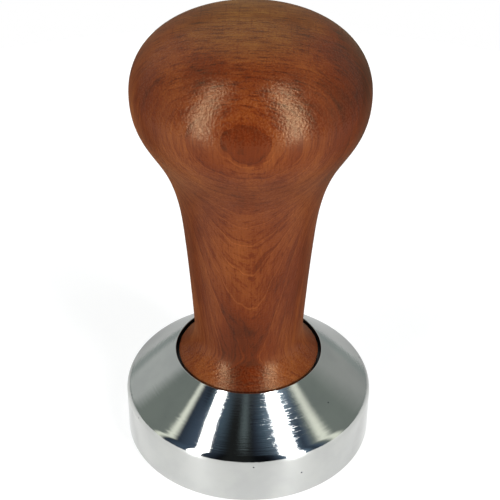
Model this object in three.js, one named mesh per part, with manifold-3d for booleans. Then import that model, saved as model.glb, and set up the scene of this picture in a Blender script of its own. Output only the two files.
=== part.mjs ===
// Espresso tamper: a turned steel base with a hardwood handle that screws onto it.
// Millimetres, +Z up. The origin is the centre of the sole, and every piece is turned about +Z.
import * as THREE from "three";
import { mergeVertices } from "three/addons/utils/BufferGeometryUtils.js";
import Module from "manifold-3d";

const wasm = await Module();
wasm.setup();

// Base
const BASE_RADIUS = 29; // fits a 58 mm filter basket
const SOLE_CHAMFER = 0.5;
const SHOULDER_Z = 12.1; // where the lines of the rim and the cone would meet
const SHOULDER_FILLET = 2.8;
const CONE_TOP_Z = 21.8;
const RECESS_RADIUS = 17.05;
const RECESS_LIP_CHAMFER = 0.15;
const RECESS_FLOOR_Z = 18.8;
const TAPPED_HOLE_FLOOR_Z = 8.2;

// M8 x 1.25 thread, right-handed, between the stud and the pieces it is screwed into
const THREAD_PITCH = 1.25;
const THREAD_CREST_RADIUS = 4;
const THREAD_ROOT_RADIUS = 3.35;
const THREAD_CLEARANCE = 0.2; // radial

// Stud
const STUD_LOW_Z = 9;
const STUD_HIGH_Z = 29;
const STUD_CHAMFER = 0.7;
const SOCKET_ACROSS_FLATS = 4;
const SOCKET_DEPTH = 4;

// Washer, with the thin gap that it keeps to the recess floor and to the handle
const SEAT_GAP = 0.1;
const WASHER_THICKNESS = 0.8;
const WASHER_HOLE_RADIUS = 4.6;
const WASHER_RADIUS = 14.5;
const WASHER_CHAMFER = 0.15;

// Handle
const FOOT_BOTTOM_Z = RECESS_FLOOR_Z + WASHER_THICKNESS + 2 * SEAT_GAP;
const FOOT_RADIUS = 16.3;
const FOOT_EDGE_Z = 21.4;
const FOOT_CHAMFER = 0.5;
const FOOT_DRAFT = 0.2; // how much narrower the foot is at its bottom than at its edge
const FOOT_SIDE_HEIGHT = 0.5; // the straight side below the foot's edge
const WAIST_RADIUS = 12.53;
const WAIST_Z = 28.5;
const NECK_TOP_RADIUS = 14.65;
const NECK_TOP_Z = 56.6;
const NECK_TAPER = 0.104; // growth in radius per millimetre of height at the top of the neck
const HEAD_RADIUS = 25.1;
const HEAD_WIDEST_Z = 88.5;
const HANDLE_TOP_Z = 105;

// How far the handle's outline runs straight on from the ends of its curves, in millimetres for the flare and
// as a share of the curve's own height, or of the head's radius, for the others
const FOOT_PULL = 1.2;
const WAIST_PULL = 3.9;
const NECK_PULL = [0.06, 0.4];
const HOLLOW_PULL = [0.65, 0.376];
const DOME_PULL = [0.82, 0.38];

// Insert, with its coarse wood thread
const FLANGE_RADIUS = 8.2;
const FLANGE_THICKNESS = 1.2;
const FLANGE_CHAMFER = 0.2;
const INSERT_HIGH_Z = FOOT_BOTTOM_Z + 13.5;
const INSERT_CHAMFER = 0.8;
const WOOD_THREAD_PITCH = 3;
const WOOD_THREAD_CREST_RADIUS = 6.6;
const WOOD_THREAD_ROOT_RADIUS = 5.7;
const INSERT_CLEARANCE = 0.15;
const PILOT_RADIUS = 4.6;
const PILOT_HIGH_Z = INSERT_HIGH_Z + 4;
const DRIVE_SLOT_WIDTH = 1.4;
const DRIVE_SLOT_DEPTH = 0.8;

// Fineness of the solids
const OUTER_SEGMENTS = 64;
const BORE_SEGMENTS = 24;
const THREAD_SEGMENTS = 20;
const FILLET_STEPS = 4;
const OVERCUT = 1; // how far a cutting tool runs past the face it cuts through
const THREAD_BLANK_MARGIN = 0.3; // how far the rod that trims a thread's ends stands clear of its crest

const STEEL = new THREE.MeshStandardMaterial({ color: 0xc9cdd0, metalness: 1, roughness: 0.12 });
const DARK_STEEL = new THREE.MeshStandardMaterial({ color: 0x6d7074, metalness: 1, roughness: 0.35 });
const BRASS = new THREE.MeshStandardMaterial({ color: 0xc9a45a, metalness: 1, roughness: 0.3 });
const FIBRE = new THREE.MeshStandardMaterial({ color: 0x141414, metalness: 0, roughness: 0.8 });
const WOOD = new THREE.MeshStandardMaterial({ color: 0x86452a, metalness: 0, roughness: 0.35 });

const point = (radius, height) => new THREE.Vector2(radius, height);

// Turns a geometry that encloses one space into a solid.
function solid(geometry) {
  const bare = geometry.index ? geometry.toNonIndexed() : geometry.clone();
  bare.deleteAttribute("normal");
  bare.deleteAttribute("uv");
  const merged = mergeVertices(bare, 1e-4);
  const corners = merged.index.array;
  const triVerts = [];
  for (let i = 0; i < corners.length; i += 3) {
    const [a, b, c] = corners.slice(i, i + 3);
    if (a !== b && b !== c && c !== a) {
      triVerts.push(a, b, c);
    }
  }
  const mesh = new wasm.Mesh({
    numProp: 3,
    vertProperties: merged.attributes.position.array,
    triVerts: new Uint32Array(triVerts),
  });
  return new wasm.Manifold(mesh);
}

// A solid turned about +Z. Its outline runs from the axis at the bottom, up the outside, to the axis
// at the top.
function turned(outline, segments) {
  return solid(new THREE.LatheGeometry(outline, segments).rotateX(Math.PI / 2));
}

// The arc of the given radius that rounds the corner between two straight stretches of an outline.
function roundedCorner(before, corner, after, radius) {
  const towardsBefore = before.clone().sub(corner).normalize();
  const towardsAfter = after.clone().sub(corner).normalize();
  const halfAngle = towardsBefore.angleTo(towardsAfter) / 2;
  const bisector = towardsBefore.clone().add(towardsAfter).normalize();
  const centre = corner.clone().addScaledVector(bisector, radius / Math.sin(halfAngle));
  const reach = radius / Math.tan(halfAngle);
  const start = corner.clone().addScaledVector(towardsBefore, reach).sub(centre).angle();
  const end = corner.clone().addScaledVector(towardsAfter, reach).sub(centre).angle();
  const sweep = THREE.MathUtils.euclideanModulo(end - start + Math.PI, 2 * Math.PI) - Math.PI;
  return Array.from({ length: FILLET_STEPS + 1 }, (_, i) => {
    const angle = start + (sweep * i) / FILLET_STEPS;
    return point(centre.x + radius * Math.cos(angle), centre.y + radius * Math.sin(angle));
  });
}

// A plain cylinder on the axis, with both ends chamfered.
function rod(radius, low, high, chamfer, segments = BORE_SEGMENTS) {
  return turned(
    [
      point(0, low),
      point(radius - chamfer, low),
      point(radius, low + chamfer),
      point(radius, high - chamfer),
      point(radius - chamfer, high),
      point(0, high),
    ],
    segments,
  );
}

// A right-handed V thread on the axis that runs past both heights. Its rows follow the helix, two to a turn
// of the thread, root and crest in turn, and a fan round a point on the axis closes each end. Every thread of
// one pitch is in step with the others, because its helix passes through the origin's height.
function helix(rootRadius, crestRadius, pitch, low, high) {
  const start = pitch * (Math.floor(low / pitch) - 2);
  const turns = Math.ceil((high - start) / pitch) + 1;
  const rows = 2 * turns;
  const corner = (step, row) => {
    const angle = (2 * Math.PI * step) / THREAD_SEGMENTS;
    const radius = row % 2 ? crestRadius : rootRadius;
    const height = start + pitch * (row / 2 + step / THREAD_SEGMENTS);
    return [radius * Math.cos(angle), radius * Math.sin(angle), height];
  };
  const bottom = [0, 0, start];
  const top = [0, 0, start + pitch * (turns + 1)];
  const triangles = [];
  for (let step = 0; step < THREAD_SEGMENTS; step++) {
    triangles.push(bottom, corner(step + 1, 0), corner(step, 0));
    triangles.push(top, corner(step, rows), corner(step + 1, rows));
    for (let row = 0; row < rows; row++) {
      triangles.push(corner(step, row), corner(step + 1, row), corner(step + 1, row + 1));
      triangles.push(corner(step, row), corner(step + 1, row + 1), corner(step, row + 1));
    }
  }
  for (let row = 0; row < 2; row++) {
    triangles.push(bottom, corner(0, row), corner(0, row + 1));
    triangles.push(top, corner(0, rows + row + 1), corner(0, rows + row));
  }
  const geometry = new THREE.BufferGeometry();
  geometry.setAttribute("position", new THREE.Float32BufferAttribute(triangles.flat(), 3));
  return solid(geometry);
}

// A thread that ends at both heights, with each end chamfered this far below the crest.
function thread(rootRadius, crestRadius, pitch, low, high, chamfer) {
  const blank = rod(crestRadius + THREAD_BLANK_MARGIN, low, high, chamfer && chamfer + THREAD_BLANK_MARGIN);
  return helix(rootRadius, crestRadius, pitch, low, high).intersect(blank);
}

// The tool that cuts the M8 thread into the base and the insert, in step with the stud's.
function tap(low, high) {
  return thread(
    THREAD_ROOT_RADIUS + THREAD_CLEARANCE,
    THREAD_CREST_RADIUS + THREAD_CLEARANCE,
    THREAD_PITCH,
    low,
    high,
    0,
  );
}

// A 45 degree countersink whose wide end, of the given radius, lies at the height and opens the given way.
function countersink(radius, height, opens) {
  const deep = point(0, height - opens * radius);
  const wide = point(radius + OVERCUT, height + opens * OVERCUT);
  const centre = point(0, height + opens * OVERCUT);
  return turned(opens > 0 ? [deep, wide, centre] : [centre, wide, deep], BORE_SEGMENTS);
}

function tampingBase() {
  const rimFoot = point(BASE_RADIUS, SOLE_CHAMFER);
  const shoulder = point(BASE_RADIUS, SHOULDER_Z);
  const lip = point(RECESS_RADIUS, CONE_TOP_Z);
  const slope = lip.clone().sub(shoulder).normalize();
  const body = turned(
    [
      point(0, 0),
      point(BASE_RADIUS - SOLE_CHAMFER, 0),
      rimFoot,
      ...roundedCorner(rimFoot, shoulder, lip, SHOULDER_FILLET),
      lip.clone().addScaledVector(slope, -RECESS_LIP_CHAMFER),
      point(RECESS_RADIUS, CONE_TOP_Z - RECESS_LIP_CHAMFER),
      point(RECESS_RADIUS, RECESS_FLOOR_Z),
      point(0, RECESS_FLOOR_Z),
    ],
    OUTER_SEGMENTS,
  );
  return body
    .subtract(tap(TAPPED_HOLE_FLOOR_Z, RECESS_FLOOR_Z + OVERCUT))
    .subtract(countersink(THREAD_CREST_RADIUS + THREAD_CLEARANCE, RECESS_FLOOR_Z, 1));
}

function joiningStud() {
  const hexRadius = SOCKET_ACROSS_FLATS / Math.sqrt(3);
  const hexagon = new THREE.CylinderGeometry(hexRadius, hexRadius, SOCKET_DEPTH + OVERCUT, 6);
  hexagon.rotateX(Math.PI / 2).translate(0, 0, STUD_HIGH_Z + (OVERCUT - SOCKET_DEPTH) / 2);
  return thread(
    THREAD_ROOT_RADIUS,
    THREAD_CREST_RADIUS,
    THREAD_PITCH,
    STUD_LOW_Z,
    STUD_HIGH_Z,
    STUD_CHAMFER,
  ).subtract(solid(hexagon));
}

function seatWasher() {
  const low = RECESS_FLOOR_Z + SEAT_GAP;
  const high = low + WASHER_THICKNESS;
  const disc = rod(WASHER_RADIUS, low, high, WASHER_CHAMFER, OUTER_SEGMENTS);
  return disc.subtract(rod(WASHER_HOLE_RADIUS, low - OVERCUT, high + OVERCUT, 0));
}

function threadedInsert() {
  const low = FOOT_BOTTOM_Z + INSERT_CLEARANCE;
  const flange = rod(FLANGE_RADIUS, low, low + FLANGE_THICKNESS, FLANGE_CHAMFER);
  const slot = new THREE.BoxGeometry(3 * FLANGE_RADIUS, DRIVE_SLOT_WIDTH, 2 * DRIVE_SLOT_DEPTH);
  return thread(
    WOOD_THREAD_ROOT_RADIUS,
    WOOD_THREAD_CREST_RADIUS,
    WOOD_THREAD_PITCH,
    low,
    INSERT_HIGH_Z,
    INSERT_CHAMFER,
  )
    .add(flange)
    .subtract(tap(low - OVERCUT, INSERT_HIGH_Z + OVERCUT))
    .subtract(countersink(THREAD_CREST_RADIUS + THREAD_CLEARANCE, low, -1))
    .subtract(solid(slot.translate(0, 0, low)));
}

// The handle's outline from the foot's edge to the crown: a flare up to the waist, a slightly hollow neck that
// widens upwards, the hollow under the head, and the domed head.
function handleOutline() {
  const footEdge = point(FOOT_RADIUS, FOOT_EDGE_Z);
  const waist = point(WAIST_RADIUS, WAIST_Z);
  const neckTop = point(NECK_TOP_RADIUS, NECK_TOP_Z);
  const widest = point(HEAD_RADIUS, HEAD_WIDEST_Z);
  const crown = point(0, HANDLE_TOP_Z);
  const neckLength = NECK_TOP_Z - WAIST_Z;
  const underHead = HEAD_WIDEST_Z - NECK_TOP_Z;
  const overHead = HANDLE_TOP_Z - HEAD_WIDEST_Z;
  const alongTaper = (rise) => point(NECK_TOP_RADIUS + NECK_TAPER * rise, NECK_TOP_Z + rise);
  const flare = new THREE.CubicBezierCurve(
    footEdge,
    point(FOOT_RADIUS - FOOT_PULL, FOOT_EDGE_Z + FOOT_PULL),
    point(WAIST_RADIUS, WAIST_Z - WAIST_PULL),
    waist,
  );
  const neck = new THREE.CubicBezierCurve(
    waist,
    point(WAIST_RADIUS, WAIST_Z + NECK_PULL[0] * neckLength),
    alongTaper(-NECK_PULL[1] * neckLength),
    neckTop,
  );
  const hollow = new THREE.CubicBezierCurve(
    neckTop,
    alongTaper(HOLLOW_PULL[0] * underHead),
    point(HEAD_RADIUS, HEAD_WIDEST_Z - HOLLOW_PULL[1] * underHead),
    widest,
  );
  const dome = new THREE.CubicBezierCurve(
    widest,
    point(HEAD_RADIUS, HEAD_WIDEST_Z + DOME_PULL[0] * overHead),
    point(DOME_PULL[1] * HEAD_RADIUS, HANDLE_TOP_Z),
    crown,
  );
  return [
    ...flare.getPoints(6),
    ...neck.getPoints(4).slice(1),
    ...hollow.getPoints(9).slice(1),
    ...dome.getPoints(11).slice(1),
  ];
}

function handle() {
  const body = turned(
    [
      point(0, FOOT_BOTTOM_Z),
      point(FOOT_RADIUS - FOOT_DRAFT - FOOT_CHAMFER, FOOT_BOTTOM_Z),
      point(FOOT_RADIUS - FOOT_DRAFT, FOOT_BOTTOM_Z + FOOT_CHAMFER),
      point(FOOT_RADIUS, FOOT_EDGE_Z - FOOT_SIDE_HEIGHT),
      ...handleOutline(),
    ],
    OUTER_SEGMENTS,
  );
  const flangeSeat = FOOT_BOTTOM_Z + FLANGE_THICKNESS + 2 * INSERT_CLEARANCE;
  return body
    .subtract(rod(FLANGE_RADIUS + INSERT_CLEARANCE, FOOT_BOTTOM_Z - OVERCUT, flangeSeat, 0))
    .subtract(rod(PILOT_RADIUS, FOOT_BOTTOM_Z, PILOT_HIGH_Z, 0))
    .subtract(
      thread(
        WOOD_THREAD_ROOT_RADIUS + INSERT_CLEARANCE,
        WOOD_THREAD_CREST_RADIUS + INSERT_CLEARANCE,
        WOOD_THREAD_PITCH,
        FOOT_BOTTOM_Z,
        INSERT_HIGH_Z + INSERT_CLEARANCE,
        0,
      ),
    );
}

// A named mesh from a solid.
function piece(name, body, material) {
  const { numProp, numVert, vertProperties, triVerts } = body.getMesh();
  const positions = new Float32Array(numVert * 3);
  for (let i = 0; i < numVert; i++) {
    positions.set(vertProperties.subarray(i * numProp, i * numProp + 3), i * 3);
  }
  const geometry = new THREE.BufferGeometry();
  geometry.setAttribute("position", new THREE.BufferAttribute(positions, 3));
  geometry.setIndex(new THREE.BufferAttribute(triVerts, 1));
  geometry.computeVertexNormals();
  const mesh = new THREE.Mesh(geometry, material);
  mesh.name = name;
  return mesh;
}

const tamper = new THREE.Group();
tamper.name = "espresso_tamper";
tamper.add(
  piece("tamping_base", tampingBase(), STEEL),
  piece("joining_stud", joiningStud(), DARK_STEEL),
  piece("seat_washer", seatWasher(), FIBRE),
  piece("threaded_insert", threadedInsert(), BRASS),
  piece("handle", handle(), WOOD),
);

export default tamper;
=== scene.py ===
"""Espresso tamper: a mirror-polished steel base with a turned, stained hardwood handle screwed onto it.

Outlines and textures are worked out in millimetres and the meshes are made in metres, in the frame's own
axes: the origin is the centre of the sole, and +Z is the axis that every piece is turned about.
"""

import math

import bpy
import numpy as np
from mathutils import Matrix, Vector


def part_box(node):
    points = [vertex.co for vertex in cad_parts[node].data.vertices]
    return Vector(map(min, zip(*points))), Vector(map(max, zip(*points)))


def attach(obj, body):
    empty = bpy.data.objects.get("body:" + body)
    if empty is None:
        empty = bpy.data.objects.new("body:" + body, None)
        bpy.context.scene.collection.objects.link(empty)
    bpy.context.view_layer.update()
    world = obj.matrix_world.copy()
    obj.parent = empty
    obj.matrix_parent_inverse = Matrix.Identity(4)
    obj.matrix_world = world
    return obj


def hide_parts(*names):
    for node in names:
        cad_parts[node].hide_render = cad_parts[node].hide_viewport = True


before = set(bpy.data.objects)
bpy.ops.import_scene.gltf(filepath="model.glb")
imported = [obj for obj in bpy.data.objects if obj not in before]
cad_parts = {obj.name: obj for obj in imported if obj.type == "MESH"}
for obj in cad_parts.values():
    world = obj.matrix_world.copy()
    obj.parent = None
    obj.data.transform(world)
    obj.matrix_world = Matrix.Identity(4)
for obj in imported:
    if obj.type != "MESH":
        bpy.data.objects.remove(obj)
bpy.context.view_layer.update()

MM = 0.001


def extent(node):
    """A CAD node's outer radius, lowest height and highest height, in millimetres."""
    low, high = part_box(node)
    return high.x / MM, low.z / MM, high.z / MM


BASE_RADIUS, SOLE_HEIGHT, CONE_TOP = extent("tamping_base")
STUD_RADIUS, STUD_LOW, STUD_HIGH = extent("joining_stud")
WASHER_RADIUS, WASHER_LOW, WASHER_HIGH = extent("seat_washer")
FLANGE_RADIUS, INSERT_LOW, INSERT_HIGH = extent("threaded_insert")
HEAD_RADIUS, FOOT_BOTTOM, HANDLE_TOP = extent("handle")

# Base, in millimetres
SHOULDER_HEIGHT = 12.1  # where the lines of the rim and the cone would meet
SHOULDER_FILLET = 2.8
SOLE_ROUND = 0.5
LIP_ROUND = 0.15
HOLE_CHAMFER = 0.4
CONE_SLOPE = math.radians(39.07)
RECESS_RADIUS = 17.05
RECESS_FLOOR = WASHER_LOW - 0.1
TAPPED_HOLE_FLOOR = 8.2

# M8 x 1.25 thread
THREAD_PITCH = 1.25
THREAD_DEPTH = 0.65
THREAD_CLEARANCE = 0.2
THREAD_FLAT = 0.08  # the flat at the root and at the crest, as a share of half a turn
THREAD_GAP = 0.1  # between a chamfer and the first row of a thread
RUN_OUT = THREAD_PITCH / 2  # where the thread's depth fades out at its ends

# Stud, washer and insert
SOCKET_ACROSS_FLATS = 4
SOCKET_DEPTH = 4
SOCKET_POINT = 0.6
WASHER_HOLE_RADIUS = 4.6
WASHER_EDGE = 0.15
FLANGE_THICKNESS = 1.2
FLANGE_EDGE = 0.2
INSERT_CHAMFER = 0.4
WOOD_THREAD_PITCH = 3
WOOD_THREAD_CREST = 6.6
WOOD_THREAD_DEPTH = 0.9
WOOD_RUN_OUT = 1
INSERT_CLEARANCE = 0.15
PILOT_RADIUS = 4.6
PILOT_HIGH = INSERT_HIGH + 4
PILOT_POINT = 1
DRIVE_SLOT_WIDTH = 1.4
DRIVE_SLOT_DEPTH = 0.8
CUTTER_MARGIN = 1

# Handle
FOOT_RADIUS = 16.3
FOOT_EDGE_HEIGHT = 21.4
FOOT_ROUND = 0.5
FOOT_DRAFT = 0.2
WAIST_RADIUS = 12.53
WAIST_HEIGHT = 28.5
NECK_TOP_RADIUS = 14.65
NECK_TOP_HEIGHT = 56.6
NECK_TAPER = 0.104
HEAD_WIDEST_HEIGHT = 88.5

# How far the curves of the handle's outline are pulled at their lower and upper ends
FLARE_PULLS = (1.2, 3.9)  # in millimetres
NECK_PULLS = (0.06, 0.4)  # as shares of the neck's height
UNDER_HEAD_PULLS = (0.65, 0.376)  # as shares of the height from the neck to the widest part
DOME_PULLS = (0.82, 0.38)  # as shares of the dome's height and of the head's radius

# Fineness of the meshes
OUTER_SEGMENTS = 240
THREAD_SEGMENTS = 72
ROWS_PER_TURN = 10
ROUND_STEPS = 6
FILLET_STEPS = 20
FLARE_STEPS = 28
NECK_STEPS = 20
UNDER_HEAD_STEPS = 44
DOME_STEPS = 56
SHARP_ANGLE = math.radians(28)

# Camera: it looks down on the tamper from in front
CAMERA_ELEVATION = math.radians(34)
CAMERA_DISTANCE = 280
CAMERA_AIM = (0.145, 0, 48.94)
CAMERA_ROLL = math.radians(0.47)
LENS = 90.2
SENSOR = 36
CAMERA_NEAR = 10


def srgb(red, green, blue):
    """A colour given as 0 to 255 in sRGB, as the linear colour that nodes use."""
    shares = [level / 255 for level in (red, green, blue)]
    linear = [c / 12.92 if c <= 0.04045 else ((c + 0.055) / 1.055) ** 2.4 for c in shares]
    return (*linear, 1)


# ---------------------------------------------------------------------------------------------------------
# Mesh building
# ---------------------------------------------------------------------------------------------------------


def arc(centre, radius, start, end, steps):
    """Outline points on an arc, with its angles in degrees from the outward radius."""
    turns = np.radians(np.linspace(start, end, steps + 1))
    return [(centre[0] + radius * math.cos(t), centre[1] + radius * math.sin(t)) for t in turns]


def bezier(start, pull_start, pull_end, end, steps):
    """Outline points on a cubic Bezier curve, without its first point."""
    t = np.linspace(0, 1, steps + 1)[1:, None]
    corners = [np.array(corner, float) for corner in (start, pull_start, pull_end, end)]
    curve = (1 - t) ** 3 * corners[0] + 3 * t * (1 - t) ** 2 * corners[1]
    curve = curve + 3 * t**2 * (1 - t) * corners[2] + t**3 * corners[3]
    return [tuple(p) for p in curve]


def thread(root, depth, pitch, low, high, run_out):
    """Rows of a right-handed V thread, from one height to the other. Its depth fades out over run_out at
    each end. A row's radius is a function of the angle, and the root passes through height 0 at angle 0."""
    rows = []
    steps = round(abs(high - low) / pitch * ROWS_PER_TURN)
    for height in np.linspace(low, high, steps + 1):
        full = min(1, abs(height - low) / run_out, abs(high - height) / run_out)

        def radius(angles, height=height, full=full):
            turn = (height / pitch - angles / (2 * math.pi)) % 1
            flank = 1 - abs(2 * turn - 1)
            return root + depth * full * np.clip((flank - THREAD_FLAT) / (1 - 2 * THREAD_FLAT), 0, 1)

        rows.append((radius, height))
    return rows


def hexagon(across_flats):
    """The radius of a hexagon as a function of the angle."""

    def radius(angles):
        from_flat = (angles + math.pi / 6) % (math.pi / 3) - math.pi / 6
        return across_flats / 2 / np.cos(from_flat)

    return radius


def turned(name, rows, segments, closed=False):
    """A mesh turned about the axis from rows of (radius, height) in millimetres. A radius is a number, or a
    function of the angle, and 0 stands for one point on the axis. The material is on the rows' left."""
    angles = 2 * math.pi * np.arange(segments) / segments
    points = []
    rings = []
    for radius, height in rows:
        if not callable(radius) and radius == 0:
            rings.append([len(points)] * segments)
            points.append((0, 0, height))
            continue
        reach = radius(angles) if callable(radius) else np.full(segments, radius)
        rings.append(list(range(len(points), len(points) + segments)))
        points.extend(zip(reach * np.cos(angles), reach * np.sin(angles), np.full(segments, height)))
    faces = []
    for before, after in zip(rings, rings[1:] + rings[:1] if closed else rings[1:]):
        for i in range(segments):
            j = (i + 1) % segments
            corners = [before[i], before[j], after[j], after[i]]
            faces.append(list(dict.fromkeys(corners)))
    mesh = bpy.data.meshes.new(name)
    mesh.from_pydata([tuple(c * MM for c in p) for p in points], [], faces)
    return placed(name, mesh)


def placed(name, mesh):
    """A smooth-shaded object for a mesh, with its real corners kept sharp."""
    mesh.shade_smooth()
    mesh.set_sharp_from_angle(angle=SHARP_ANGLE)
    mesh.validate()
    piece = bpy.data.objects.new(name, mesh)
    bpy.context.scene.collection.objects.link(piece)
    return piece


def box_cutter(low, high):
    """A box between two corners in millimetres, to cut with."""
    corners = [(x, y, z) for x in (low[0], high[0]) for y in (low[1], high[1]) for z in (low[2], high[2])]
    faces = [(0, 1, 3, 2), (4, 6, 7, 5), (0, 4, 5, 1), (2, 3, 7, 6), (0, 2, 6, 4), (1, 5, 7, 3)]
    mesh = bpy.data.meshes.new("cutter")
    mesh.from_pydata([tuple(c * MM for c in p) for p in corners], [], faces)
    return placed("cutter", mesh)


def cut(piece, cutter):
    """Takes the cutter's space out of the piece, and removes the cutter."""
    boolean = piece.modifiers.new("cut", "BOOLEAN")
    boolean.operation = "DIFFERENCE"
    boolean.solver = "EXACT"
    boolean.object = cutter
    evaluated = piece.evaluated_get(bpy.context.evaluated_depsgraph_get())
    mesh = bpy.data.meshes.new_from_object(evaluated)
    piece.modifiers.clear()
    piece.data = mesh
    mesh.set_sharp_from_angle(angle=SHARP_ANGLE)
    bpy.data.objects.remove(cutter)


# ---------------------------------------------------------------------------------------------------------
# Pieces
# ---------------------------------------------------------------------------------------------------------


def tamping_base():
    """The base: sole, rim, rounded shoulder, cone, and the recess with its tapped hole."""
    steep = math.pi / 2 - CONE_SLOPE
    reach = SHOULDER_FILLET * math.tan(steep / 2)
    fillet_centre = (BASE_RADIUS - SHOULDER_FILLET, SHOULDER_HEIGHT - reach)
    lip_centre = (RECESS_RADIUS + LIP_ROUND, CONE_TOP - LIP_ROUND)
    hole_radius = STUD_RADIUS + THREAD_CLEARANCE
    hole_root = hole_radius - THREAD_DEPTH
    thread_start = RECESS_FLOOR - THREAD_DEPTH - HOLE_CHAMFER - THREAD_GAP
    return turned(
        "tamping_base_polished",
        [
            (0, SOLE_HEIGHT),
            (BASE_RADIUS - 2 * SOLE_ROUND, SOLE_HEIGHT),
            *arc((BASE_RADIUS - SOLE_ROUND, SOLE_HEIGHT + SOLE_ROUND), SOLE_ROUND, -90, 0, ROUND_STEPS),
            *arc(fillet_centre, SHOULDER_FILLET, 0, math.degrees(steep), FILLET_STEPS),
            *arc(lip_centre, LIP_ROUND, math.degrees(steep), 180, ROUND_STEPS),
            (RECESS_RADIUS, RECESS_FLOOR),
            (hole_radius + HOLE_CHAMFER, RECESS_FLOOR),
            (hole_root, RECESS_FLOOR - THREAD_DEPTH - HOLE_CHAMFER),
            *thread(hole_root, THREAD_DEPTH, THREAD_PITCH, thread_start, TAPPED_HOLE_FLOOR, RUN_OUT),
            (0, TAPPED_HOLE_FLOOR),
        ],
        OUTER_SEGMENTS,
    )


def joining_stud():
    """The threaded stud, with a hexagon socket in its upper end."""
    root = STUD_RADIUS - THREAD_DEPTH
    socket = hexagon(SOCKET_ACROSS_FLATS)
    return turned(
        "joining_stud_threaded",
        [
            (0, STUD_LOW),
            *thread(root, THREAD_DEPTH, THREAD_PITCH, STUD_LOW, STUD_HIGH, RUN_OUT),
            (socket, STUD_HIGH),
            (socket, STUD_HIGH - SOCKET_DEPTH),
            (0, STUD_HIGH - SOCKET_DEPTH - SOCKET_POINT),
        ],
        THREAD_SEGMENTS,
    )


def seat_washer():
    """The thin washer that the handle's foot is tightened onto."""
    return turned(
        "seat_washer_fibre",
        [
            (WASHER_HOLE_RADIUS, WASHER_LOW),
            *arc((WASHER_RADIUS - WASHER_EDGE, WASHER_LOW + WASHER_EDGE), WASHER_EDGE, -90, 0, ROUND_STEPS),
            *arc((WASHER_RADIUS - WASHER_EDGE, WASHER_HIGH - WASHER_EDGE), WASHER_EDGE, 0, 90, ROUND_STEPS),
            (WASHER_HOLE_RADIUS, WASHER_HIGH),
        ],
        OUTER_SEGMENTS,
        closed=True,
    )


def threaded_insert():
    """The brass insert in the handle's foot, with a coarse thread outside, M8 inside and a drive slot."""
    bore = STUD_RADIUS + THREAD_CLEARANCE - THREAD_DEPTH
    wood_root = WOOD_THREAD_CREST - WOOD_THREAD_DEPTH
    flange_top = INSERT_LOW + FLANGE_THICKNESS
    mouth = INSERT_LOW + THREAD_DEPTH + THREAD_GAP
    top = INSERT_HIGH - INSERT_CHAMFER
    insert = turned(
        "threaded_insert_brass",
        [
            (bore + THREAD_DEPTH, INSERT_LOW),
            (FLANGE_RADIUS - FLANGE_EDGE, INSERT_LOW),
            (FLANGE_RADIUS, INSERT_LOW + FLANGE_EDGE),
            (FLANGE_RADIUS, flange_top - FLANGE_EDGE),
            (FLANGE_RADIUS - FLANGE_EDGE, flange_top),
            *thread(wood_root, WOOD_THREAD_DEPTH, WOOD_THREAD_PITCH, flange_top, top, WOOD_RUN_OUT),
            (wood_root - INSERT_CHAMFER, INSERT_HIGH),
            (bore + INSERT_CHAMFER, INSERT_HIGH),
            *thread(bore, THREAD_DEPTH, THREAD_PITCH, top, mouth, RUN_OUT),
        ],
        THREAD_SEGMENTS,
        closed=True,
    )
    half = DRIVE_SLOT_WIDTH / 2
    wide = FLANGE_RADIUS + CUTTER_MARGIN
    below = INSERT_LOW - CUTTER_MARGIN
    cut(insert, box_cutter((-wide, -half, below), (wide, half, INSERT_LOW + DRIVE_SLOT_DEPTH)))
    return insert


def handle_outline():
    """The handle's outer line from the foot's edge to the crown, in four curves."""
    waist = (WAIST_RADIUS, WAIST_HEIGHT)
    neck_top = (NECK_TOP_RADIUS, NECK_TOP_HEIGHT)
    widest = (HEAD_RADIUS, HEAD_WIDEST_HEIGHT)
    neck = NECK_TOP_HEIGHT - WAIST_HEIGHT
    under_head = HEAD_WIDEST_HEIGHT - NECK_TOP_HEIGHT
    over_head = HANDLE_TOP - HEAD_WIDEST_HEIGHT

    def along_taper(rise):
        """A place on the neck's straight taper, by its height over the neck's top."""
        return (NECK_TOP_RADIUS + NECK_TAPER * rise, NECK_TOP_HEIGHT + rise)

    foot_edge = (FOOT_RADIUS, FOOT_EDGE_HEIGHT)
    flare_start = (FOOT_RADIUS - FLARE_PULLS[0], FOOT_EDGE_HEIGHT + FLARE_PULLS[0])
    flare_end = (WAIST_RADIUS, WAIST_HEIGHT - FLARE_PULLS[1])
    neck_start = (WAIST_RADIUS, WAIST_HEIGHT + NECK_PULLS[0] * neck)
    neck_end = along_taper(-NECK_PULLS[1] * neck)
    head_start = along_taper(UNDER_HEAD_PULLS[0] * under_head)
    head_end = (HEAD_RADIUS, HEAD_WIDEST_HEIGHT - UNDER_HEAD_PULLS[1] * under_head)
    dome_start = (HEAD_RADIUS, HEAD_WIDEST_HEIGHT + DOME_PULLS[0] * over_head)
    dome_end = (DOME_PULLS[1] * HEAD_RADIUS, HANDLE_TOP)
    return [
        foot_edge,
        *bezier(foot_edge, flare_start, flare_end, waist, FLARE_STEPS),
        *bezier(waist, neck_start, neck_end, neck_top, NECK_STEPS),
        *bezier(neck_top, head_start, head_end, widest, UNDER_HEAD_STEPS),
        *bezier(widest, dome_start, dome_end, (0, HANDLE_TOP), DOME_STEPS),
    ]


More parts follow.
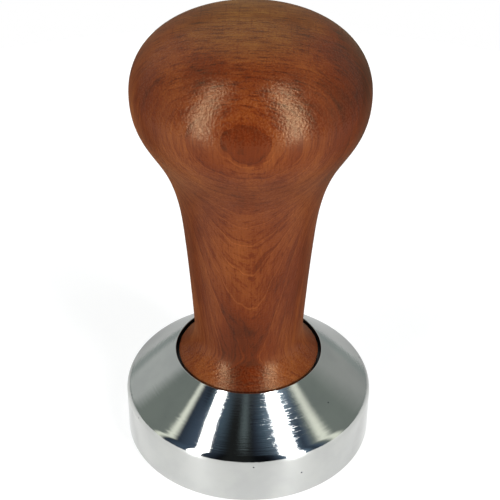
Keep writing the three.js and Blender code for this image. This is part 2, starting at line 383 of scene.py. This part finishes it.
def handle():
    """The turned handle, bored from below for the insert and the stud."""
    side = FOOT_RADIUS - FOOT_DRAFT
    seat_radius = FLANGE_RADIUS + INSERT_CLEARANCE
    seat_height = FOOT_BOTTOM + FLANGE_THICKNESS + 2 * INSERT_CLEARANCE
    wood_bore = WOOD_THREAD_CREST - WOOD_THREAD_DEPTH + INSERT_CLEARANCE
    bore_end = INSERT_HIGH + INSERT_CLEARANCE
    return turned(
        "handle_turned",
        [
            (0, PILOT_HIGH + PILOT_POINT),
            (PILOT_RADIUS, PILOT_HIGH),
            (PILOT_RADIUS, bore_end),
            *thread(wood_bore, WOOD_THREAD_DEPTH, WOOD_THREAD_PITCH, bore_end, seat_height, WOOD_RUN_OUT),
            (seat_radius, seat_height),
            (seat_radius, FOOT_BOTTOM),
            *arc((side - FOOT_ROUND, FOOT_BOTTOM + FOOT_ROUND), FOOT_ROUND, -90, 0, ROUND_STEPS),
            (FOOT_RADIUS, FOOT_EDGE_HEIGHT - FOOT_ROUND),
            *handle_outline(),
        ],
        OUTER_SEGMENTS,
    )


# ---------------------------------------------------------------------------------------------------------
# Materials
# ---------------------------------------------------------------------------------------------------------


class Nodes:
    """A node tree, with a short call for each kind of node that the textures use. Calls give sockets."""

    def __init__(self, tree):
        self.tree = tree

    def add(self, kind, inputs, output=0, **settings):
        node = self.tree.nodes.new(kind)
        for setting, value in settings.items():
            setattr(node, setting, value)
        for socket, value in inputs.items():
            self.feed(node.inputs[socket], value)
        return node.outputs[output]

    def feed(self, socket, value):
        if isinstance(value, bpy.types.NodeSocket):
            self.tree.links.new(value, socket)
        else:
            socket.default_value = value

    def math(self, operation, *values):
        return self.add("ShaderNodeMath", dict(enumerate(values)), operation=operation)

    def sum(self, *values):
        total = values[0]
        for value in values[1:]:
            total = self.math("ADD", total, value)
        return total

    def vector(self, operation, *values, output=0):
        return self.add("ShaderNodeVectorMath", dict(enumerate(values)), output, operation=operation)

    def split(self, vector):
        node = self.tree.nodes.new("ShaderNodeSeparateXYZ")
        self.feed(node.inputs[0], vector)
        return list(node.outputs)

    def join(self, x, y, z):
        return self.add("ShaderNodeCombineXYZ", {0: x, 1: y, 2: z})

    def noise(self, vector, detail=2.0, roughness=0.5):
        inputs = {"Vector": vector, "Scale": 1.0, "Detail": detail, "Roughness": roughness}
        return self.add("ShaderNodeTexNoise", inputs)

    def marks(self, place, per_mm, detail=2.0, roughness=0.5):
        """Noise with about this many marks per millimetre along X, Y and Z."""
        return self.noise(self.vector("MULTIPLY", place, per_mm), detail, roughness)

    def centred(self, noise, strength):
        """Noise moved to lie round 0, times a strength."""
        return self.math("MULTIPLY", self.math("SUBTRACT", noise, 0.5), strength)

    def step(self, value, start, end, low=0.0, high=1.0):
        """Goes smoothly from low to high as the value goes from start to end."""
        inputs = {"Value": value, "From Min": start, "From Max": end, "To Min": low, "To Max": high}
        return self.add("ShaderNodeMapRange", inputs, interpolation_type="SMOOTHSTEP")

    def ramp(self, value, stops, interpolation="LINEAR"):
        node = self.tree.nodes.new("ShaderNodeValToRGB")
        node.color_ramp.interpolation = interpolation
        elements = node.color_ramp.elements
        while len(elements) < len(stops):
            elements.new(0.5)
        for element, (position, colour) in zip(elements, stops):
            element.position = position
            element.color = colour
        self.feed(node.inputs[0], value)
        return node.outputs[0]

    def mix(self, factor, first, second, blend="MIX"):
        inputs = {0: factor, 6: first, 7: second}
        return self.add("ShaderNodeMix", inputs, 2, data_type="RGBA", blend_type=blend)

    def bump(self, height, distance, normal=None):
        inputs = {"Height": height, "Distance": distance, "Strength": 1.0}
        if normal is not None:
            inputs["Normal"] = normal
        return self.add("ShaderNodeBump", inputs)

    def place(self):
        """The place on the piece in millimetres. It stays with the piece when the piece moves."""
        metres = self.add("ShaderNodeTexCoord", {}, "Object")
        return self.vector("MULTIPLY", metres, (1 / MM,) * 3)


def material(name, **constants):
    """A new material, its nodes and its Principled shader, with the shader's constant inputs set."""
    made = bpy.data.materials.new(name)
    made.use_nodes = True
    shader = made.node_tree.nodes["Principled BSDF"]
    for socket, value in constants.items():
        shader.inputs[socket.replace("_", " ")].default_value = value
    return made, Nodes(made.node_tree), shader


def round_the_axis(nodes, size, detail=2.0, roughness=0.5):
    """Noise whose marks run round the axis. Its size is the marks per millimetre across them, by radius and
    height, and then the marks per radian or so along them."""
    across, along = size
    x, y, z = nodes.split(nodes.place())
    radius = nodes.math("SQRT", nodes.sum(nodes.math("MULTIPLY", x, x), nodes.math("MULTIPLY", y, y)))
    outwards = nodes.vector("NORMALIZE", nodes.join(x, y, 0.0))
    outwards = nodes.vector("MULTIPLY", outwards, (along, along, 0.0))
    slope = nodes.sum(nodes.math("MULTIPLY", radius, across), nodes.math("MULTIPLY", z, -across))
    vector = nodes.vector("ADD", outwards, nodes.join(0.0, 0.0, slope))
    return nodes.noise(vector, detail, roughness)


def swung_normal(nodes, amount):
    """The surface's normal, swung round the axis by a small amount that can vary from place to place."""
    x, y, _ = nodes.split(nodes.place())
    along = nodes.vector("NORMALIZE", nodes.join(nodes.math("MULTIPLY", y, -1.0), x, 0.0))
    settings = {"vector_type": "VECTOR", "convert_from": "OBJECT", "convert_to": "WORLD"}
    along = nodes.add("ShaderNodeVectorTransform", {"Vector": along}, **settings)
    swing = nodes.vector("MULTIPLY", along, nodes.join(amount, amount, amount))
    normal = nodes.add("ShaderNodeNewGeometry", {}, "Normal")
    return nodes.vector("NORMALIZE", nodes.vector("ADD", normal, swing))


STEEL_BRIGHT = srgb(197, 198, 195)
STEEL_SMUDGED = srgb(190, 191, 189)
STEEL_PIT = srgb(70, 74, 80)
STEEL_ROUGHNESS = (0.035, 0.07)  # clean, and smudged
PIT_ROUGHNESS = 0.3  # added in a pit
SMUDGES = (0.12, 0.12, 0.12)
PIT_CELLS = 0.22  # per millimetre, each with a pit if the surface passes its middle
PIT_EDGE = (0.035, 0.05)  # in cells
# Marks as round_the_axis takes them
SCRATCHES = (14.0, 4.0)
SCRATCH_BUNDLES = (3.0, 4.0)
POLISHING_MARKS = (1.6, 2.0)
POLISHING_DEPTH = 0.02
BETWEEN_BUNDLES = 0.15  # how much of the scratches is left between the bundles
# The polish is streaky round this place on the front of the cone, in millimetres
STREAKS_MIDDLE = (6.8, -20.7, 17.7)
STREAKS_INNER = 3
STREAKS_OUTER = 9
STREAKS_TILT = 2.0
STREAKS_ELSEWHERE = 0.05  # as a share of that tilt


def polished_steel():
    """Mirror-polished stainless steel with scratches from the polishing wheel, smudges and a few pits."""
    made, nodes, shader = material("polished_steel", Metallic=1.0)
    place = nodes.place()
    scratches = nodes.math("SUBTRACT", round_the_axis(nodes, SCRATCHES), 0.5)
    bundles = nodes.step(round_the_axis(nodes, SCRATCH_BUNDLES), 0.38, 0.62, BETWEEN_BUNDLES, 1.0)
    away = nodes.vector("DISTANCE", place, STREAKS_MIDDLE, output=1)
    tilt_elsewhere = STREAKS_TILT * STREAKS_ELSEWHERE
    tilt = nodes.step(away, STREAKS_INNER, STREAKS_OUTER, STREAKS_TILT, tilt_elsewhere)
    tilt = nodes.math("MULTIPLY", tilt, bundles)
    few_deep = nodes.math("MULTIPLY", scratches, nodes.math("ABSOLUTE", scratches))
    normal = swung_normal(nodes, nodes.math("MULTIPLY", few_deep, tilt))
    marks = round_the_axis(nodes, POLISHING_MARKS, 4.0, 0.65)
    nodes.feed(shader.inputs["Normal"], nodes.bump(marks, POLISHING_DEPTH * MM, normal))

    smudges = nodes.marks(place, SMUDGES, 3.0)
    cells = nodes.add("ShaderNodeTexVoronoi", {"Vector": place, "Scale": PIT_CELLS}, "Distance")
    pits = nodes.step(cells, *PIT_EDGE, 1.0, 0.0)
    bright = nodes.mix(nodes.step(smudges, 0.35, 0.7), STEEL_BRIGHT, STEEL_SMUDGED)
    nodes.feed(shader.inputs["Base Color"], nodes.mix(pits, bright, STEEL_PIT))
    dull = nodes.step(smudges, 0.4, 0.75, *STEEL_ROUGHNESS)
    nodes.feed(shader.inputs["Roughness"], nodes.sum(dull, nodes.math("MULTIPLY", pits, PIT_ROUGHNESS)))
    return made


# Painted shade: the turning marks are mixed towards this near-black, darkening the steel along their
# grooves.
GROOVE_PAINTED_SHADE = srgb(30, 30, 31)
# Painted shade: the recess and the tapped hole get steel far darker than the polished outside, for the
# shade that fills the recess.
RECESS_PAINTED_SHADE = srgb(96, 98, 100)
RECESS_ROUGHNESS = 0.4
STUD_STEEL = srgb(126, 128, 131)
STUD_ROUGHNESS = 0.3
ROUGHNESS_SPREAD = 0.08
TURNING_MARKS = (5.0, 0.3)
TURNING_DEPTH = 0.01


def turned_steel(name, colour, roughness):
    """Steel as the lathe left it, with plain turning marks; the colour is darkened almost to black along
    the marks, a painted shade in their grooves.
    """
    made, nodes, shader = material(name, Metallic=1.0)
    marks = round_the_axis(nodes, TURNING_MARKS)
    spread = (roughness - ROUGHNESS_SPREAD, roughness + ROUGHNESS_SPREAD)
    # Painted shade in the grooves of the turning marks.
    nodes.feed(shader.inputs["Base Color"], nodes.mix(marks, colour, GROOVE_PAINTED_SHADE))
    nodes.feed(shader.inputs["Roughness"], nodes.step(marks, 0.2, 0.8, *spread))
    nodes.feed(shader.inputs["Normal"], nodes.bump(marks, TURNING_DEPTH * MM))
    return made


BRASS_BRIGHT = srgb(214, 178, 104)
BRASS_TARNISHED = srgb(158, 118, 62)
BRASS_ROUGHNESS = (0.24, 0.42)  # bright, and tarnished
TARNISH = (0.5, 0.5, 0.5)
BRASS_MARKS = (6.0, 0.3)
BRASS_DEPTH = 0.008


def brass():
    """Machined brass, a little dulled."""
    made, nodes, shader = material("insert_brass", Metallic=1.0)
    tarnish = nodes.marks(nodes.place(), TARNISH, 4.0)
    marks = round_the_axis(nodes, BRASS_MARKS)
    nodes.feed(shader.inputs["Base Color"], nodes.mix(tarnish, BRASS_BRIGHT, BRASS_TARNISHED))
    nodes.feed(shader.inputs["Roughness"], nodes.step(tarnish, 0.3, 0.7, *BRASS_ROUGHNESS))
    nodes.feed(shader.inputs["Normal"], nodes.bump(marks, BRASS_DEPTH * MM))
    return made


FIBRE_BLACK = srgb(14, 14, 14)
FIBRE_SPECK = srgb(38, 36, 34)
FIBRE_ROUGHNESS = (0.7, 0.9)
SPECKS = (3.0, 3.0, 3.0)
SPECK_DEPTH = 0.03


def fibre():
    """Black vulcanised fibre with a matt, speckled face."""
    made, nodes, shader = material("black_fibre")
    specks = nodes.marks(nodes.place(), SPECKS, 4.0, 0.7)
    nodes.feed(shader.inputs["Base Color"], nodes.mix(specks, FIBRE_BLACK, FIBRE_SPECK))
    nodes.feed(shader.inputs["Roughness"], nodes.step(specks, 0.3, 0.7, *FIBRE_ROUGHNESS))
    nodes.feed(shader.inputs["Normal"], nodes.bump(specks, SPECK_DEPTH * MM))
    return made


# Wood: the heart of the tree lay behind the handle, so its front and back are flat-sawn faces. Places,
# heights and depths are in millimetres
HEART = (3.0, 75.0, 0.0)
GROWTH_TILT = 0.06  # how fast the growth layers lean towards the front as they rise
LAYER_DRIFT = 4.0  # how far they wander slowly
LAYER_RIPPLE = 0.5  # how far they ripple
LAYER_THICKNESS = 1.4
LAYER_SHIFT = 0.625
LAYER_EDGE = 0.08  # the pale line where a layer starts, as a share of the layer
DENSE_FALL = 1.8  # how fast a layer gets less dense after its start, as a power
DENSE_LEAST = 0.4  # how dense the least dense year is
DARK_REFLECTION_LAYER = 77.17  # the wood beyond this layer shows only at the front of the head, and is painted darker there: a growth layer's bullseye carrying a painted dark reflection

# Marks per millimetre along X, Y and Z
DRIFT = (0.04, 0.04, 0.016)
RIPPLE = (0.35, 0.35, 0.06)
BLOTCHES = (0.09, 0.09, 0.035)
FIBRES = (2.6, 2.6, 0.14)
PORES = (5.0, 5.0, 0.7)
RAYS = (2.2, 0.12, 0.55)
MOTTLE = (2.3, 2.3, 2.3)
FINE_LAYERS = (3.4, 0.25, 0.06)  # along the block's depth, X and Z

# What each mark adds to the wood's tone, where 0 is dark and 1 is light
MIDDLE_TONE = 0.5
BLOTCH_TONE = 0.9
FIBRE_TONE = 0.5
FINE_TONES = (-0.13, 0.06)
YEAR_TONE = 0.08
DENSE_TONE = -0.13
EDGE_TONE = 0.27
# Painted dark reflection on the front of the head, beyond the outermost layer
DARK_REFLECTION_TONE = -0.21
PORE_TONE = -0.18
RAY_TONE = -0.12

# Where the stain or a mark is stronger or weaker. Each pair is where that starts and where it is complete
EDGES_FADE = (HEAD_WIDEST_HEIGHT - 5, HEAD_WIDEST_HEIGHT + 3)
EDGES_ON_HEAD = 0.3  # how much of the pale lines is left above
END_GRAIN = (HANDLE_TOP - 12, HANDLE_TOP - 6)
END_GRAIN_STRENGTH = 2.2  # of the fine layers on the crown
WAIST_MIDDLE = (3.0, 9.0)  # sideways from the middle: the stain is heavy in the middle of the waist
WAIST_BESIDE = -0.5  # and light beside it, by this share of the tone
WAIST_FADE = (36.0, 47.0)
WAIST_TONE = -0.2
PAINTED_REFLECTION_UNDER_HEAD = (58.0, 68.0)  # painted reflection of the white table: lighter from here up, and half as much lighter below
PAINTED_REFLECTION_BELOW = 0.5
PAINTED_REFLECTION_FADE = (88.0, 95.0)
PAINTED_REFLECTION_TONE = 0.12
PAINTED_SHADE_SIDE = (12, 24)  # painted shade: the wood is painted darker towards +X
PAINTED_SHADE_TONE = -0.34
CROWN_REFLECTION_DEPTH = 3.5

WOOD_DARK = srgb(40, 12, 4)
WOOD_MIDDLE = srgb(80, 29, 6)
WOOD_LIGHT = srgb(116, 62, 25)
CROWN_PAINTED_REFLECTION = (1.25, 2.0, 1.9, 1)  # painted reflection: the crown is tinted paler and greyer, for the grazing reflection of the room above it

# The satin finish. The hand has worn it from the waist up to the head's widest part
SATIN_TINT = (1.0, 0.72, 0.42, 1)
SATIN_LEVEL = 0.34
SATIN_FROM = 0.15  # it mirrors less and less from this facing value on
SATIN_TO = 0.62  # and nothing from this one on
SATIN_ROUGHNESS = (0.2, 0.3)
WORN_ROUGHNESS = 0.15  # added where it is worn
WORN_GLOSS = 0.35  # how much of the gloss is left there
FLARE_GLOSS = 0.85  # and on the flare below the waist
WEAR_START = (WAIST_HEIGHT - 5, WAIST_HEIGHT + 2)
WEAR_END = (HEAD_WIDEST_HEIGHT - 4, HEAD_WIDEST_HEIGHT + 5)
SHEEN = 0.09
SHEEN_ROUGHNESS = 0.5
SHEEN_TINT = (1.0, 0.88, 0.62, 1)
PORES_IN_GRAIN = -0.5
GRAIN_DEPTH = 0.02
MOTTLE_DEPTH = 0.035


def block_depth(nodes, place):
    """How far a place is from the tree's heart, with the lean, the drift and the ripple of the layers."""
    _, _, z = nodes.split(place)
    from_heart = nodes.vector("SUBTRACT", nodes.vector("MULTIPLY", place, (1.0, 1.0, 0.0)), HEART)
    return nodes.sum(
        nodes.vector("LENGTH", from_heart, output=1),
        nodes.math("MULTIPLY", z, GROWTH_TILT),
        nodes.math("MULTIPLY", nodes.marks(place, DRIFT), LAYER_DRIFT),
        nodes.math("MULTIPLY", nodes.marks(place, RIPPLE), LAYER_RIPPLE),
    )


def layer_tones(nodes, place):
    """What the growth layers add to the tone: their fine layers, years, dense wood and pale lines, and a
    painted dark reflection beyond the outermost layer on the front of the head.
    """
    x, _, z = nodes.split(place)
    depth = block_depth(nodes, place)
    layers = nodes.sum(nodes.math("DIVIDE", depth, LAYER_THICKNESS), LAYER_SHIFT)
    within = nodes.math("FRACT", layers)
    year = nodes.add("ShaderNodeTexWhiteNoise", {"W": nodes.math("FLOOR", layers)}, noise_dimensions="1D")
    dense = nodes.math("POWER", nodes.math("SUBTRACT", 1.0, within), DENSE_FALL)
    dense = nodes.math("MULTIPLY", dense, nodes.step(year, 0.0, 1.0, DENSE_LEAST, 1.0))
    edge = nodes.step(within, 0.0, LAYER_EDGE, 1.0, 0.0)
    edge = nodes.math("MULTIPLY", edge, nodes.step(z, *EDGES_FADE, 1.0, EDGES_ON_HEAD))
    fine = nodes.marks(nodes.join(depth, x, z), FINE_LAYERS, 3.0, 0.7)
    fine = nodes.step(fine, 0.36, 0.5, *FINE_TONES)
    return (
        nodes.math("MULTIPLY", fine, nodes.step(z, *END_GRAIN, 1.0, END_GRAIN_STRENGTH)),
        nodes.centred(year, YEAR_TONE),
        nodes.math("MULTIPLY", dense, DENSE_TONE),
        nodes.math("MULTIPLY", edge, EDGE_TONE),
        # Painted dark reflection: the wood beyond the outermost layer is darkened.
        nodes.math("MULTIPLY", nodes.math("GREATER_THAN", layers, DARK_REFLECTION_LAYER), DARK_REFLECTION_TONE),
    )


def stained_hardwood():
    """Red-brown stained hardwood with a satin finish. The growth layers, fibres and rays are laid out as in
    a real block, so that arches, end grain and flecks come where the turned surface cuts them."""
    made, nodes, shader = material(
        "stained_hardwood",
        Specular_Tint=SATIN_TINT,
        Sheen_Weight=SHEEN,
        Sheen_Roughness=SHEEN_ROUGHNESS,
        Sheen_Tint=SHEEN_TINT,
    )
    place = nodes.place()
    x, _, z = nodes.split(place)
    fibres = nodes.marks(place, FIBRES, 4.0, 0.65)
    pores = nodes.marks(place, PORES)
    waist = nodes.step(nodes.math("ABSOLUTE", x), *WAIST_MIDDLE, 1.0, WAIST_BESIDE)
    # Painted reflection of the white table under the head.
    pale = nodes.step(z, *PAINTED_REFLECTION_UNDER_HEAD, PAINTED_REFLECTION_BELOW, 1.0)
    tone = nodes.sum(
        MIDDLE_TONE,
        nodes.centred(nodes.marks(place, BLOTCHES, 3.0), BLOTCH_TONE),
        nodes.centred(fibres, FIBRE_TONE),
        *layer_tones(nodes, place),
        nodes.math("MULTIPLY", waist, nodes.step(z, *WAIST_FADE, WAIST_TONE, 0.0)),
        nodes.math("MULTIPLY", pale, nodes.step(z, *PAINTED_REFLECTION_FADE, PAINTED_REFLECTION_TONE, 0.0)),
        nodes.step(pores, 0.62, 0.72, 0.0, PORE_TONE),
        nodes.step(nodes.marks(place, RAYS), 0.60, 0.70, 0.0, RAY_TONE),
        # Painted shade towards +X.
        nodes.step(x, *PAINTED_SHADE_SIDE, 0.0, PAINTED_SHADE_TONE),
    )
    colour = nodes.ramp(tone, [(0.0, WOOD_DARK), (0.5, WOOD_MIDDLE), (1.0, WOOD_LIGHT)])
    # Painted reflection: the top of the crown is tinted paler and greyer.
    crown = nodes.step(z, HANDLE_TOP - CROWN_REFLECTION_DEPTH, HANDLE_TOP)
    colour = nodes.mix(crown, colour, nodes.mix(1.0, colour, CROWN_PAINTED_REFLECTION, "MULTIPLY"))
    nodes.feed(shader.inputs["Base Color"], colour)

    gloss_left = nodes.sum(
        nodes.step(z, *WEAR_START, FLARE_GLOSS, WORN_GLOSS),
        nodes.step(z, *WEAR_END, 0.0, 1.0 - WORN_GLOSS),
    )
    facing = nodes.add("ShaderNodeLayerWeight", {"Blend": 0.5}, "Facing")
    satin = nodes.step(facing, SATIN_FROM, SATIN_TO, SATIN_LEVEL, 0.0)
    nodes.feed(shader.inputs["Specular IOR Level"], nodes.math("MULTIPLY", satin, gloss_left))

    mottle = nodes.marks(place, MOTTLE, 0.0)
    roughness = nodes.sum(
        nodes.step(mottle, 0.35, 0.65, *SATIN_ROUGHNESS),
        nodes.step(gloss_left, WORN_GLOSS, 1.0, WORN_ROUGHNESS, 0.0),
    )
    nodes.feed(shader.inputs["Roughness"], roughness)
    grain = nodes.bump(nodes.sum(fibres, nodes.math("MULTIPLY", pores, PORES_IN_GRAIN)), GRAIN_DEPTH * MM)
    nodes.feed(shader.inputs["Normal"], nodes.bump(mottle, MOTTLE_DEPTH * MM, grain))
    return made


# ---------------------------------------------------------------------------------------------------------
# Studio
# ---------------------------------------------------------------------------------------------------------

# The room round the tamper, as the steel mirrors it. Azimuth is in degrees, 0 on the camera's side and
# rising towards +X. WALLS is seen from the table up to UPPER_START, and UPPER_WALLS from UPPER_FULL up to
# CEILING_START, which are elevations in degrees.
WHITE = (1, 1, 1, 1)
PALE_GREY = (0.58, 0.61, 0.60, 1)
GREY = (0.42, 0.44, 0.43, 1)
DIM_GREY = (0.25, 0.285, 0.265, 1)
CREAM = (1.12, 1.16, 1.02, 1)
NAVY = (0.08, 0.12, 0.18, 1)
BLUE_BLACK = (0.036, 0.05, 0.075, 1)
CHARCOAL = (0.018, 0.02, 0.02, 1)
NEAR_BLACK = (0.005, 0.006, 0.008, 1)
SLATE = (0.13, 0.165, 0.175, 1)
HAZE = (0.11, 0.17, 0.23, 1)
GLARE = (0.35, 0.45, 0.56, 1)
HALO = (0.2, 0.3, 0.42, 1)  # the steel streaks mirror it beside the right-hand light
OVERHEAD = (0.06, 0.07, 0.08, 1)
SKIRTING = (0.36, 0.4, 0.39, 1)
WALLS = (
    (-180, PALE_GREY),
    (-122, PALE_GREY),
    (-112, DIM_GREY),
    (-86, DIM_GREY),
    (-82, CREAM),
    (-79, CREAM),
    (-73, BLUE_BLACK),
    (-56, NAVY),
    (-34, BLUE_BLACK),
    (-24, NEAR_BLACK),
    (-18, CHARCOAL),
    (1, CHARCOAL),
    (7, NEAR_BLACK),
    (18, NEAR_BLACK),
    (25, BLUE_BLACK),
    (33, HALO),
    (48, HALO),
    (57, BLUE_BLACK),
    (63, NAVY),
    (71, DIM_GREY),
    (76, CREAM),
    (82, CREAM),
    (88, DIM_GREY),
    (108, DIM_GREY),
    (126, GREY),
    (150, GREY),
    (180, PALE_GREY),
)
UPPER_WALLS = (
    (-180, PALE_GREY),
    (-122, PALE_GREY),
    (-112, DIM_GREY),
    (-86, DIM_GREY),
    (-81, CREAM),
    (-76, BLUE_BLACK),
    (-61, NEAR_BLACK),
    (-54, HAZE),
    (-36, HAZE),
    (-20, CHARCOAL),
    (3, CHARCOAL),
    (10, BLUE_BLACK),
    (21, HAZE),
    (30, GLARE),
    (56, GLARE),
    (66, HAZE),
    (74, CREAM),
    (82, DIM_GREY),
    (126, GREY),
    (150, GREY),
    (180, PALE_GREY),
)
UPPER_START = 52
UPPER_FULL = 61
SPREAD = 0.765  # azimuths are multiplied by this at the lights' top, and by 1 below SPREAD_START
SPREAD_START = 40
CEILING_START = 66
CEILING_FULL = 72
LEFT_LIGHT = (-45.2, 5.2)  # azimuth and half width in degrees
RIGHT_LIGHT = (40.3, 6.3)
LIGHT_EDGE = 2.5
LIGHT_TOP = 68
LIGHT_TOP_EDGE = 3
LIGHT_BRIGHTNESS = (18.0, 18.0, 18.0, 1)
HIGH_PATCH = (-4, 2, 5)  # a pale patch under the ceiling: azimuth, half width and soft edge in degrees
HIGH_PATCH_START = 57.5
HIGH_PATCH_FULL = 60.5
SKIRTING_TOP = 3
SKIRTING_EDGE = 1
SKIRTING_AZIMUTH = 100
SKIRTING_FULL = 120
TABLE_RADIUS = 230
TABLE_DROP = 0.02  # how far it lies below the sole, in millimetres
TABLE_COLOUR = (0.35, 0.35, 0.35, 1)
TABLE_ROUGHNESS = 0.4
TABLE_GLOW_SEEN = 0.68  # the camera sees this glow everywhere
TABLE_GLOW = 0.56  # the tamper mirrors, and is lit by, this one in front
TABLE_GLOW_PAINTED_SHADOW = 0.15  # and this dimmer one behind, a painted shadow of the tamper
PAINTED_SHADOW_FROM = 0  # the one turns into the other between these places on Y
PAINTED_SHADOW_TO = 50


def surroundings():
    """The room and its two upright strip lights. The camera itself sees plain white there."""
    world = bpy.data.worlds.new("studio")
    world.use_nodes = True
    bpy.context.scene.world = world
    nodes = Nodes(world.node_tree)
    background = world.node_tree.nodes["Background"]
    x, y, z = nodes.split(nodes.add("ShaderNodeTexCoord", {}, "Generated"))
    elevation = nodes.math("DEGREES", nodes.math("ARCSINE", z))
    looks = nodes.math("DEGREES", nodes.math("ARCTAN2", x, nodes.math("MULTIPLY", y, -1.0)))
    azimuth = nodes.math("MULTIPLY", looks, nodes.step(elevation, SPREAD_START, LIGHT_TOP, 1.0, SPREAD))
    turn = nodes.math("ADD", nodes.math("DIVIDE", azimuth, 360.0), 0.5)
    lower, upper = (
        nodes.ramp(turn, [(angle / 360 + 0.5, colour) for angle, colour in walls])
        for walls in (WALLS, UPPER_WALLS)
    )
    room = nodes.mix(nodes.step(elevation, UPPER_START, UPPER_FULL), lower, upper)
    room = nodes.mix(nodes.step(elevation, CEILING_START, CEILING_FULL), room, OVERHEAD)
    middle, half_width, soft_edge = HIGH_PATCH
    away = nodes.math("ABSOLUTE", nodes.math("SUBTRACT", azimuth, middle))
    patch = nodes.math(
        "MULTIPLY",
        nodes.step(away, half_width, half_width + soft_edge, 1.0, 0.0),
        nodes.step(elevation, HIGH_PATCH_START, HIGH_PATCH_FULL),
    )
    room = nodes.mix(patch, room, SLATE)
    skirting = nodes.math(
        "MULTIPLY",
        nodes.step(nodes.math("ABSOLUTE", azimuth), SKIRTING_AZIMUTH, SKIRTING_FULL),
        nodes.step(elevation, SKIRTING_TOP, SKIRTING_TOP + SKIRTING_EDGE, 1.0, 0.0),
    )
    room = nodes.mix(skirting, room, SKIRTING)
    for middle, half_width in (LEFT_LIGHT, RIGHT_LIGHT):
        away = nodes.math("ABSOLUTE", nodes.math("SUBTRACT", azimuth, middle))
        across = nodes.step(away, half_width - LIGHT_EDGE / 2, half_width + LIGHT_EDGE / 2, 1.0, 0.0)
        top = (LIGHT_TOP - LIGHT_TOP_EDGE, LIGHT_TOP + LIGHT_TOP_EDGE)
        below_top = nodes.step(elevation, *top, 1.0, 0.0)
        room = nodes.mix(nodes.math("MULTIPLY", across, below_top), room, LIGHT_BRIGHTNESS)
    seen = nodes.add("ShaderNodeLightPath", {}, "Is Camera Ray")
    nodes.feed(background.inputs["Color"], nodes.mix(seen, room, WHITE))


def table():
    """A round table with a slight gloss, which the tamper stands on. It glows evenly for the camera, and
    its glow as the tamper mirrors it and is lit by it falls off behind the tamper, a painted shadow."""
    constants = {"Roughness": TABLE_ROUGHNESS, "Base_Color": TABLE_COLOUR, "Emission_Color": WHITE}
    made, nodes, shader = material("white_table", **constants)
    _, y, _ = nodes.split(nodes.place())
    # Painted shadow: the glow that the tamper mirrors and is lit by is dimmer behind it.
    mirrored_glow = nodes.step(y, PAINTED_SHADOW_FROM, PAINTED_SHADOW_TO, TABLE_GLOW, TABLE_GLOW_PAINTED_SHADOW)
    seen = nodes.add("ShaderNodeLightPath", {}, "Is Camera Ray")
    glow = nodes.add("ShaderNodeMix", {0: seen, 2: mirrored_glow, 3: TABLE_GLOW_SEEN}, 0)
    nodes.feed(shader.inputs["Emission Strength"], glow)
    top = turned("white_table", [(0, 0), (TABLE_RADIUS, 0)], OUTER_SEGMENTS)
    top.data.flip_normals()
    top.location.z = -TABLE_DROP * MM
    top.data.materials.append(made)


def camera():
    """The camera at the photograph's viewing angle."""
    data = bpy.data.cameras.new("camera")
    data.lens = LENS
    data.sensor_width = SENSOR
    data.clip_start = CAMERA_NEAR * MM
    made = bpy.data.objects.new("camera", data)
    bpy.context.scene.collection.objects.link(made)
    towards = Vector((0, -math.cos(CAMERA_ELEVATION), math.sin(CAMERA_ELEVATION)))
    aim = Vector(CAMERA_AIM) * MM
    rotation = towards.to_track_quat("Z", "Y").to_matrix().to_4x4()
    place = Matrix.Translation(aim + towards * CAMERA_DISTANCE * MM)
    made.matrix_world = place @ rotation @ Matrix.Rotation(CAMERA_ROLL, 4, "Z")
    bpy.context.scene.camera = made


# ---------------------------------------------------------------------------------------------------------
# Assembly
# ---------------------------------------------------------------------------------------------------------


# A face of the base is in its recess or hole if it is nearer to the axis than the recess's wall, with this
# margin, and higher above the sole than this, in millimetres
RECESS_MARGIN = 0.01
OFF_THE_SOLE = 1


def fit(piece, node, body, finish):
    """Puts a finished piece in the place of its CAD node."""
    piece.data.materials.clear()
    piece.data.materials.append(finish)
    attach(piece, body)
    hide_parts(node)


def assemble():
    """Makes the five pieces. The base has a second material, in its recess and its tapped hole: far darker
    steel, a painted shade for the dark recess.
    """
    base = tamping_base()
    fit(base, "tamping_base", "base", polished_steel())
    # The recess faces get the darker steel, a painted shade.
    base.data.materials.append(turned_steel("recess_painted_shade", RECESS_PAINTED_SHADE, RECESS_ROUGHNESS))
    for face in base.data.polygons:
        out = math.hypot(face.center.x, face.center.y) / MM
        if out < RECESS_RADIUS + RECESS_MARGIN and face.center.z / MM > SOLE_HEIGHT + OFF_THE_SOLE:
            face.material_index = 1
    stud_steel = turned_steel("stud_steel", STUD_STEEL, STUD_ROUGHNESS)
    fit(joining_stud(), "joining_stud", "base", stud_steel)
    fit(seat_washer(), "seat_washer", "washer", fibre())
    fit(threaded_insert(), "threaded_insert", "handle", brass())
    fit(handle(), "handle", "handle", stained_hardwood())


camera()
surroundings()
table()
assemble()
bpy.context.scene.view_settings.view_transform = "Standard"
